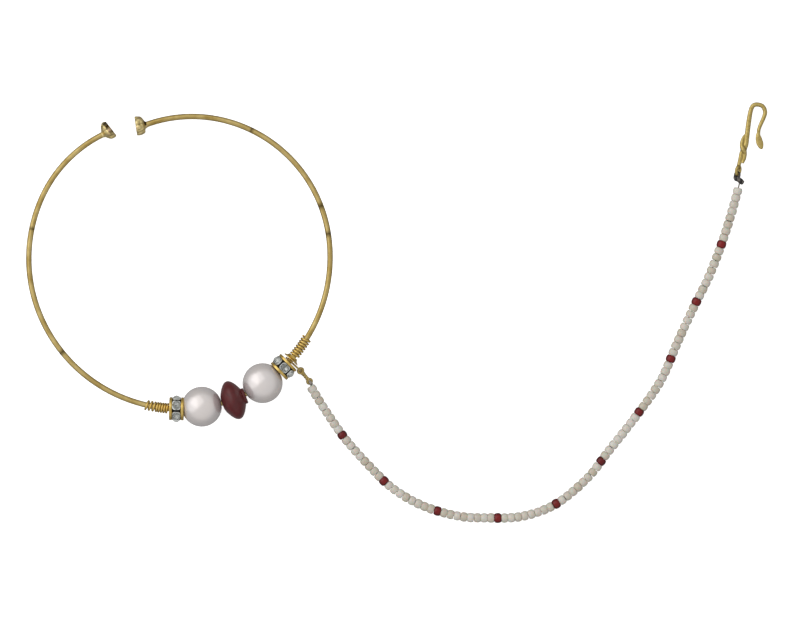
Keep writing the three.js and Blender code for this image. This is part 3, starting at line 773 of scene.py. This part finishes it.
# The power that makes a bead's section slightly fuller than an oval
BEAD_SWELL = 2 / 2.05
BEADS = 98
WHITE_RUN = 8
STRAND_SEED = 11
# How many millimetres beads have slid along the thread, by their number
BEAD_SLIDES = ((0, 0.18), (26, 0.06), (44, -0.4), (71, -0.38), (97, -0.12))
THREAD = 0.3 * MM


def white_seed_glass():
    """Opaque ivory glass with a pearly skin, a little different from bead to bead."""
    material = new_material("white_seed_glass", {
        "Roughness": 0.3, "IOR": 1.52, "Subsurface Weight": 0.25, "Subsurface Scale": 0.3 * MM,
        "Coat Weight": 0.25, "Coat Roughness": 0.15,
    })
    tone = add(material, "Attribute", {"attribute_name": "tone"}, result="Fac")
    ivory = {"data_type": "RGBA", 6: linear(0xC6BDAA), 7: linear(0xD9D4CA)}
    colour = add(material, "Mix", ivory, {0: tone}, 2)
    place = add(material, "TexCoord", result="Object")
    pit = 0.3 * MM
    pits = add(material, "TexNoise", {"Scale": 1 / pit}, {"Vector": place})
    bump = add(material, "Bump", {"Strength": 0.3, "Distance": 0.03 * MM}, {"Height": pits})
    return feed(material, {"Base Color": colour, "Normal": bump})


def red_seed_glass():
    """Dark red glass, drawn opaque: deep red over its middle, with painted shade that makes it nearly black
    round its edges.
    """
    material = new_material("red_seed_glass", {"Roughness": 0.14, "IOR": 1.42})
    tone = add(material, "Attribute", {"attribute_name": "tone"}, result="Fac")
    reds = {"data_type": "RGBA", 6: linear(0x600507), 7: linear(0x860E0E)}
    deep = add(material, "Mix", reds, {0: tone}, 2)
    # Painted shade: the colour darkens to near black where the surface turns away from view, as light would
    # be lost along a clear wall
    edge_shade = add(material, "LayerWeight", {"Blend": 0.55}, result="Facing")
    colour = add(material, "Mix", {"data_type": "RGBA", 7: linear(0x140203)}, {0: edge_shade, 6: deep}, 2)
    return feed(material, {"Base Color": colour})


def thread_material(name, light, dark):
    """Twisted thread, waxed and handled: uneven in colour, and the twist shows as fine slanting ridges."""
    material = new_material(name, {"Roughness": 0.6})
    place = add(material, "TexCoord", result="Object")
    smear, ply = 0.5 * MM, 0.12 * MM
    smears = add(material, "TexNoise", {"Scale": 1 / smear}, {"Vector": place})
    share = add(material, "MapRange", {"From Min": 0.42, "From Max": 0.6}, {"Value": smears})
    colour = add(material, "Mix", {"data_type": "RGBA", 6: linear(dark), 7: linear(light)}, {0: share}, 2)
    grain = add(material, "Attribute", {"attribute_name": "grain"}, result="Vector")
    fine = add(material, "VectorMath", {"operation": "MULTIPLY", 1: (1 / ply,) * 3}, {0: grain})
    twist = {"bands_direction": "DIAGONAL", "Scale": 0.4, "Distortion": 1.0}
    plies = add(material, "TexWave", twist, {"Vector": fine}, "Fac")
    bump = add(material, "Bump", {"Strength": 0.6, "Distance": 0.03 * MM}, {"Height": plies})
    return feed(material, {"Base Color": colour, "Normal": bump})


def evenly(curve, shares):
    """Points and directions at shares of a curve's length."""
    steps = np.linalg.norm(np.diff(curve, axis=0), axis=1)
    along = np.concatenate(([0], np.cumsum(steps)))
    at = lambda d: np.array([np.interp(d, along, axis) for axis in curve.T])
    return [(at(s * along[-1]), at(s * along[-1] + 1e-5) - at(s * along[-1] - 1e-5)) for s in shares]


def bead_shell(diameter, length, hole, tone):
    """A seed bead: a rounded ring of glass round the thread."""
    ring, half = (diameter - hole) / 4, length / 2
    centre = (diameter + hole) / 4
    swell = lambda v: math.copysign(abs(v) ** BEAD_SWELL, v)
    section = [(centre + ring * swell(math.cos(a)), half * swell(math.sin(a))) for a in circle(22)]
    shell = lathe(np.array(section) * MM, 28, closed=True)
    shell["tone"] = np.full(len(shell["points"]), tone)
    return shell


def strand():
    draw = random.Random(STRAND_SEED)
    start = Vector((lower_eye.x, lower_eye.y, 0))
    curve = rounded([(x * MM, y * MM, 0) for x, y in STRAND_ROUTE], 24) + np.array(start)
    whites, reds, holes = [], [], []
    length = np.linalg.norm(np.diff(curve, axis=0), axis=1).sum()
    slid = np.interp(range(BEADS), *zip(*BEAD_SLIDES)) * MM / length
    for number, (point, ahead) in enumerate(evenly(curve, (np.arange(BEADS) + 0.5) / BEADS + slid)):
        red = number % (WHITE_RUN + 1) == WHITE_RUN
        # The red beads are a little bigger than the white ones
        diameter = BEAD["diameter"] * draw.uniform(0.96, 1.01) * (1.04 if red else 1)
        bead_length = BEAD["length"] * draw.uniform(0.95, 1.02) * (1.06 if red else 1)
        shell = bead_shell(diameter, bead_length, BEAD["hole"], draw.random())
        heading = math.atan2(ahead[1], ahead[0]) + math.radians(draw.uniform(-5, 5))
        centre = Vector((point[0], point[1], diameter / 2 * MM))
        nod = Matrix.Rotation(math.radians(draw.uniform(-4, 4)), 4, "X")
        turn = Matrix.Rotation(heading - math.pi / 2, 4, "Z") @ nod
        (reds if red else whites).append(placed(shell, Matrix.Translation(centre) @ turn))
        holes.append(centre)
    build("white_seed_beads", whites, [white_seed_glass()], ["bead_strand"])
    build("red_seed_beads", reds, [red_seed_glass()], ["bead_strand"])
    return curve, holes


strand_curve, bead_holes = strand()
strand_end = Vector(strand_curve[-1])

# Thread: grey beading thread through all the seed beads, knotted in the link's lower eye. At the far
# end dark waxed thread is wound into a knot and holds the hook's eye.
KNOT = {"x": 0.3, "y": 1.3, "length": 1.9, "width": 1.1, "heading": math.radians(141)}
KNOT_THREAD = 0.32 * MM
KNOT_SEED = 5
THREAD_LOOP = {"wire": 0.3, "reach": 0.6, "clearance": 0.15}
HOOK_EYE = {"x": -0.1, "y": 3.35, "length": 2.3, "width": 2, "wire": 0.6, "skin": 0.68,
            "heading": math.radians(79), "roll": math.radians(60)}
HOOK_WIRE = 0.76
HOOK_REACH = (5.3, 16.55)


def hook_level(y):
    """Height of the hook's wire: it lies on its eye and its bend, and slopes down between them."""
    high = (HOOK_EYE["width"] - HOOK_EYE["wire"]) / 2 * math.sin(HOOK_EYE["roll"]) + HOOK_EYE["wire"] / 2
    return np.interp(y, (HOOK_EYE["y"], HOOK_REACH[1]), (high, HOOK_WIRE / 2)) * MM


def from_strand(x, y):
    return Vector((strand_end.x + x * MM, strand_end.y + y * MM, hook_level(y)))


def eye_middle():
    """Place of the hook's eye, with its own +X along the hook."""
    turn = Matrix.Rotation(HOOK_EYE["heading"], 4, "Z")
    return Matrix.Translation(from_strand(HOOK_EYE["x"], HOOK_EYE["y"])) @ turn


def winding(start, end, width, turns, draw):
    """Turns of thread wound one beside another round a core between two points."""
    along = end - start
    forward = along.normalized()
    sideways = forward.cross(Vector((0, 0, 1))).normalized()
    upward = sideways.cross(forward)
    shares = np.linspace(-1, 1, 9)
    core = [start + along * (0.5 + 0.46 * share) for share in shares]
    shells = [sweep(core, [(0.64 * width * math.sqrt(1.02 - s * s),) * 2 for s in shares], 12)]
    for number in range(turns):
        share = (number + 0.5) / turns * 2 - 1
        radius = (width / 2 - KNOT_THREAD / 2) * math.sqrt(1 - 0.6 * share ** 2)
        lean = draw.uniform(-0.5, 0.5)
        middle_point = start + along * (0.5 + 0.42 * share)
        shells.append(sweep([
            middle_point + forward * lean * radius * math.sin(a)
            + (sideways * math.cos(a) + upward * math.sin(a) * 0.9) * radius
            for a in circle(28)
        ], KNOT_THREAD * draw.uniform(0.85, 1.1), 10, closed=True))
    return shells


def knot_shells():
    """The knot, its neck and the loop through the hook's eye."""
    draw = random.Random(KNOT_SEED)
    body = from_strand(KNOT["x"], KNOT["y"])
    reach = Vector((math.cos(KNOT["heading"]), math.sin(KNOT["heading"]), 0)) * KNOT["length"] / 2 * MM
    shells = winding(body - reach, body + reach, KNOT["width"] * MM, 6, draw)
    foot = (HOOK_EYE["length"] - HOOK_EYE["wire"]) / 2 + THREAD_LOOP["reach"]
    bend = HOOK_EYE["wire"] / 2 + THREAD_LOOP["clearance"] + THREAD_LOOP["wire"] / 2
    eye = eye_middle() @ Matrix.Rotation(HOOK_EYE["roll"] - math.pi / 2, 4, "X")
    eye = eye @ Matrix.Translation((-foot * MM, 0, 0))
    for narrowing in (0, 0.18, 0.36, 0.5):
        path = loop_path(bend * MM, THREAD_LOOP["reach"] * MM, 24, (bend - narrowing) * MM)
        lift = Vector((0, 0, draw.uniform(-0.12, 0.12) * MM))
        shells.append(sweep([eye @ p + lift for p in path], THREAD_LOOP["wire"] * MM, 10, closed=True))
    shells.extend(winding(body + reach * 0.2, eye @ Vector((-0.1 * MM, 0, 0)), 1 * MM, 4, draw))
    ends = [eye @ Vector((x * MM, 0, 0)) for x in (-0.4, 0.25)]
    return shells + winding(*ends, 1.05 * MM, 3, draw)


def thread_shell():
    """The beading thread, from the lower eye through every bead to the knot."""
    away = (Vector(bead_holes[0]) - lower_eye).normalized()
    tail = from_strand(KNOT["x"], KNOT["y"])
    return sweep(rounded([lower_eye + away * 0.3 * MM, *bead_holes, tail], 2), THREAD, 10)


def thread_eye():
    """Two turns of the thread round the wire of the lower eye."""
    along = (lower_eye - upper_eye).normalized()
    foot = lower_eye + along * eye_radius(LINK["lower"])
    up = Vector((0, 0, 1))
    shells = []
    for shift in (-0.14, 0.14):
        across = along.cross(up) * shift * MM
        turn = [
            foot + across + (along * math.cos(a) + up * math.sin(a)) * (EYE_WIRE + THREAD) / 2
            for a in circle(20)
        ]
        shells.append(sweep(turn, THREAD * 0.9, 8, closed=True))
    return shells


grey_thread = thread_material("grey_thread", 0xB4AEA6, 0x8E8880)
dark_thread = thread_material("dark_waxed_thread", 0x7E7770, 0x1C1A1A)
build("beading_thread", [thread_shell(), *thread_eye()], [grey_thread], ["bead_strand"])
build("wound_knot", knot_shells(), [dark_thread], ["thread_knot"])

# Hook: one piece of brass wire, bent by hand and gilded. Its end is hammered to a leaf so that it
# won't scratch, and its tail is wound back up the shaft and soldered.
HOOK_ROUTE = (
    (0, 0.254), (0.062, 0.338), (0.122, 0.42), (0.262, 0.5), (0.31, 0.6), (0.377, 0.779), (0.453, 0.918),
    (0.547, 0.985), (0.717, 1), (0.906, 0.979), (1, 0.918), (0.962, 0.852), (0.792, 0.725),
    (0.755, 0.653), (0.811, 0.562),
)
# The wire's width at the points of its route, where the hammer spread or thinned it
HOOK_WIDTHS = (0.8, 0.84, 0.9, 1.02, 0.98, 1.0, 0.92, 0.9, 0.88, 0.88, 0.88, 0.84, 0.76, 0.68, 0.3)
HOOK_TIP = {"length": 3.5, "thickness": 0.5}
# The leaf's width along its length, from the neck to the tip
HOOK_LEAF = (
    (0, 0.5), (0.12, 0.84), (0.3, 1.16), (0.47, 1.36), (0.64, 1.42), (0.81, 1.16), (0.93, 0.72), (1, 0.25),
)
HOOK_LEAF_LEAN = 0.2
# The tail's route up the shaft from its cut end, as shares of the hook's reach, how far it stands above
# the shaft, and its thickness
HOOK_TAIL = (
    (0.14, 0.291, 0, 0.56), (0.208, 0.344, 0, 0.76), (0.232, 0.408, 0.1, 0.86), (0.18, 0.456, 0.3, 1.1),
    (0.122, 0.5, 0.15, 0.86), (0.13, 0.546, 0.05, 0.76), (0.18, 0.6, 0.05, 0.6), (0.25, 0.64, 0.1, 0.3),
)
# A blob of solder where they cross, as places along the shaft with its width and height
HOOK_SOLDER = ((0.41, 0.5, 0.3), (0.435, 1.15, 0.5), (0.46, 1.34, 0.55), (0.485, 1.2, 0.5), (0.51, 0.5, 0.3))
FUSE = 0.05 * MM


def fused(name, shells, materials, replaced):
    """A piece whose shells are soldered and hammered into one skin."""
    piece = build(name, shells, materials, replaced)
    remesh = piece.modifiers.new("fuse", "REMESH")
    remesh.mode = "VOXEL"
    remesh.voxel_size = FUSE
    smooth = piece.modifiers.new("soften", "SMOOTH")
    smooth.iterations = 4
    done = bpy.data.meshes.new_from_object(piece.evaluated_get(bpy.context.evaluated_depsgraph_get()))
    piece.modifiers.clear()
    piece.data = done


def hook_shells():
    route = [(x * HOOK_REACH[0], y * HOOK_REACH[1]) for x, y in HOOK_ROUTE]
    wire = rounded([from_strand(x, y) for x, y in route], 12)
    widths = rounded([(width, 0.34 + 0.46 * width) for width in HOOK_WIDTHS], 12)
    shells = [sweep(wire, widths * MM, 20, upright=True)]

    tip, before = route[-1], route[-2]
    heading = math.atan2(tip[1] - before[1], tip[0] - before[0])
    forward = Vector((math.cos(heading), math.sin(heading), 0)) * HOOK_TIP["length"] * MM
    outline = rounded(HOOK_LEAF, 5)
    aside = Vector((-1, 0, 0)) * HOOK_LEAF_LEAN * MM
    bulge = np.interp(outline[:, 0], (0, 0.2, 0.55, 1), (0, 1, 0.9, 0))
    leaf = [
        from_strand(*tip) + forward * (along - 0.5) + aside * lean
        for along, lean in zip(outline[:, 0], bulge)
    ]
    flat = [(width * MM, min(width, HOOK_TIP["thickness"]) * MM) for _, width in outline]
    shells.append(sweep(leaf, flat, 24, upright=True))

    eye_place = eye_middle() @ Matrix.Rotation(HOOK_EYE["roll"], 4, "X")
    long_half, wide_half = ((HOOK_EYE[key] - HOOK_EYE["wire"]) / 2 * MM for key in ("length", "width"))
    oval = [Vector((long_half * math.cos(a), wide_half * math.sin(a), 0)) for a in circle(40)]
    shells.append(sweep([eye_place @ p for p in oval], HOOK_EYE["skin"] * MM, 14, closed=True))

    route, rise, thickness = [rounded(np.array(HOOK_TAIL)[:, part], 6) for part in ((0, 1), (2,), (3,))]
    tail = [from_strand(x * HOOK_REACH[0], y * HOOK_REACH[1]) for x, y in route]
    tail = np.array(tail) + np.column_stack((rise * 0, rise * 0, rise)) * MM
    shells.append(sweep(tail, thickness * (1, 1) * MM, 16))

    solder = rounded(HOOK_SOLDER, 5)
    blob = [from_strand((0.19 + 0.6 * (y - 0.46)) * HOOK_REACH[0], y * HOOK_REACH[1]) for y in solder[:, 0]]
    shells.append(sweep(blob, solder[:, 1:] * MM, 20, upright=True))
    return shells


hammered_gilt = worn_gilt("hammered_gilt_brass", 0xE0CA80, 0x8C7638)
fused("bent_hook", hook_shells(), [hammered_gilt], ["hook"])

# Table: a plain pale surface, lit through from below like a photographer's light table. It neither
# lights the piece nor shows in its metal, whose sides are dark in the photograph.
TABLE = 3.0
TABLE_COLOUR = 0xFFFFFF


def pale_table():
    """White acrylic over a lamp: even white, so that the piece throws hardly any shadow on it."""
    return new_material("pale_table", {
        "Base Color": linear(TABLE_COLOUR), "Roughness": 0.9, "Specular IOR Level": 0,
        "Emission Color": linear(TABLE_COLOUR), "Emission Strength": 0.7,
    })


table_top = bpy.data.meshes.new("table")
table_corners = [(x * TABLE / 2, y * TABLE / 2, 0) for x, y in ((-1, -1), (1, -1), (1, 1), (-1, 1))]
table_top.from_pydata(table_corners, [], [(0, 1, 2, 3)])
table_top.materials.append(pale_table())
table = bpy.data.objects.new("table", table_top)
table.visible_glossy = False
table.visible_diffuse = False
bpy.context.scene.collection.objects.link(table)

# Light: a pale room that is darker below the table's height, a broad soft panel low on the left, and a
# soft lamp high up behind it.
ROOM = {"below": 0.3, "above": 0.67, "panel": 0.45}
PANEL_SIDE = (-0.85, 0.2, 0.48)
LAMP = {"place": (-0.5, 0.5, 0.8), "size": 1.3, "power": 2.4}

light = bpy.data.lights.new("key_light", "AREA")
light.energy = LAMP["power"]
light.size = LAMP["size"]
lamp = bpy.data.objects.new("key_light", light)
lamp.location = LAMP["place"]
lamp.rotation_euler = (-Vector(LAMP["place"])).to_track_quat("-Z", "Y").to_euler()
bpy.context.scene.collection.objects.link(lamp)

room = bpy.data.worlds.new("room")
bpy.context.scene.world = room
room.use_nodes = True
around = add(room, "TexCoord", result="Generated")
height = add(room, "SeparateXYZ", links={"Vector": around}, result="Z")
upward = add(room, "MapRange", {
    "interpolation_type": "SMOOTHSTEP", "From Min": -0.2, "From Max": 0.5,
    "To Min": ROOM["below"], "To Max": ROOM["above"],
}, {"Value": height})
toward = add(room, "VectorMath", {"operation": "DOT_PRODUCT", 1: PANEL_SIDE}, {0: around}, "Value")
panel = add(room, "MapRange", {
    "interpolation_type": "SMOOTHSTEP", "From Min": 0.72, "From Max": 0.85, "To Max": ROOM["panel"],
}, {"Value": toward})
total = add(room, "Math", {"operation": "ADD"}, {0: upward, 1: panel})
room.node_tree.links.new(total, room.node_tree.nodes["Background"].inputs["Strength"])
room.node_tree.nodes["Background"].inputs["Color"].default_value = linear(0xFFFFFF)

# Camera: straight above the piece, as the photograph was taken. Its lens is so long that what stands up
# towards it is hardly drawn larger.
CAMERA_HEIGHT = 3
VIEW_WIDTH = 158.8 * MM
VIEW_CENTRE = (0.07 * MM, 0.12 * MM)

lens = bpy.data.cameras.new("camera")
lens.lens = lens.sensor_width * CAMERA_HEIGHT / VIEW_WIDTH
lens.clip_start = 0.01
camera = bpy.data.objects.new("camera", lens)
camera.location = (*VIEW_CENTRE, CAMERA_HEIGHT)
bpy.context.scene.collection.objects.link(camera)
bpy.context.scene.camera = camera
bpy.context.scene.view_settings.view_transform = "Standard"
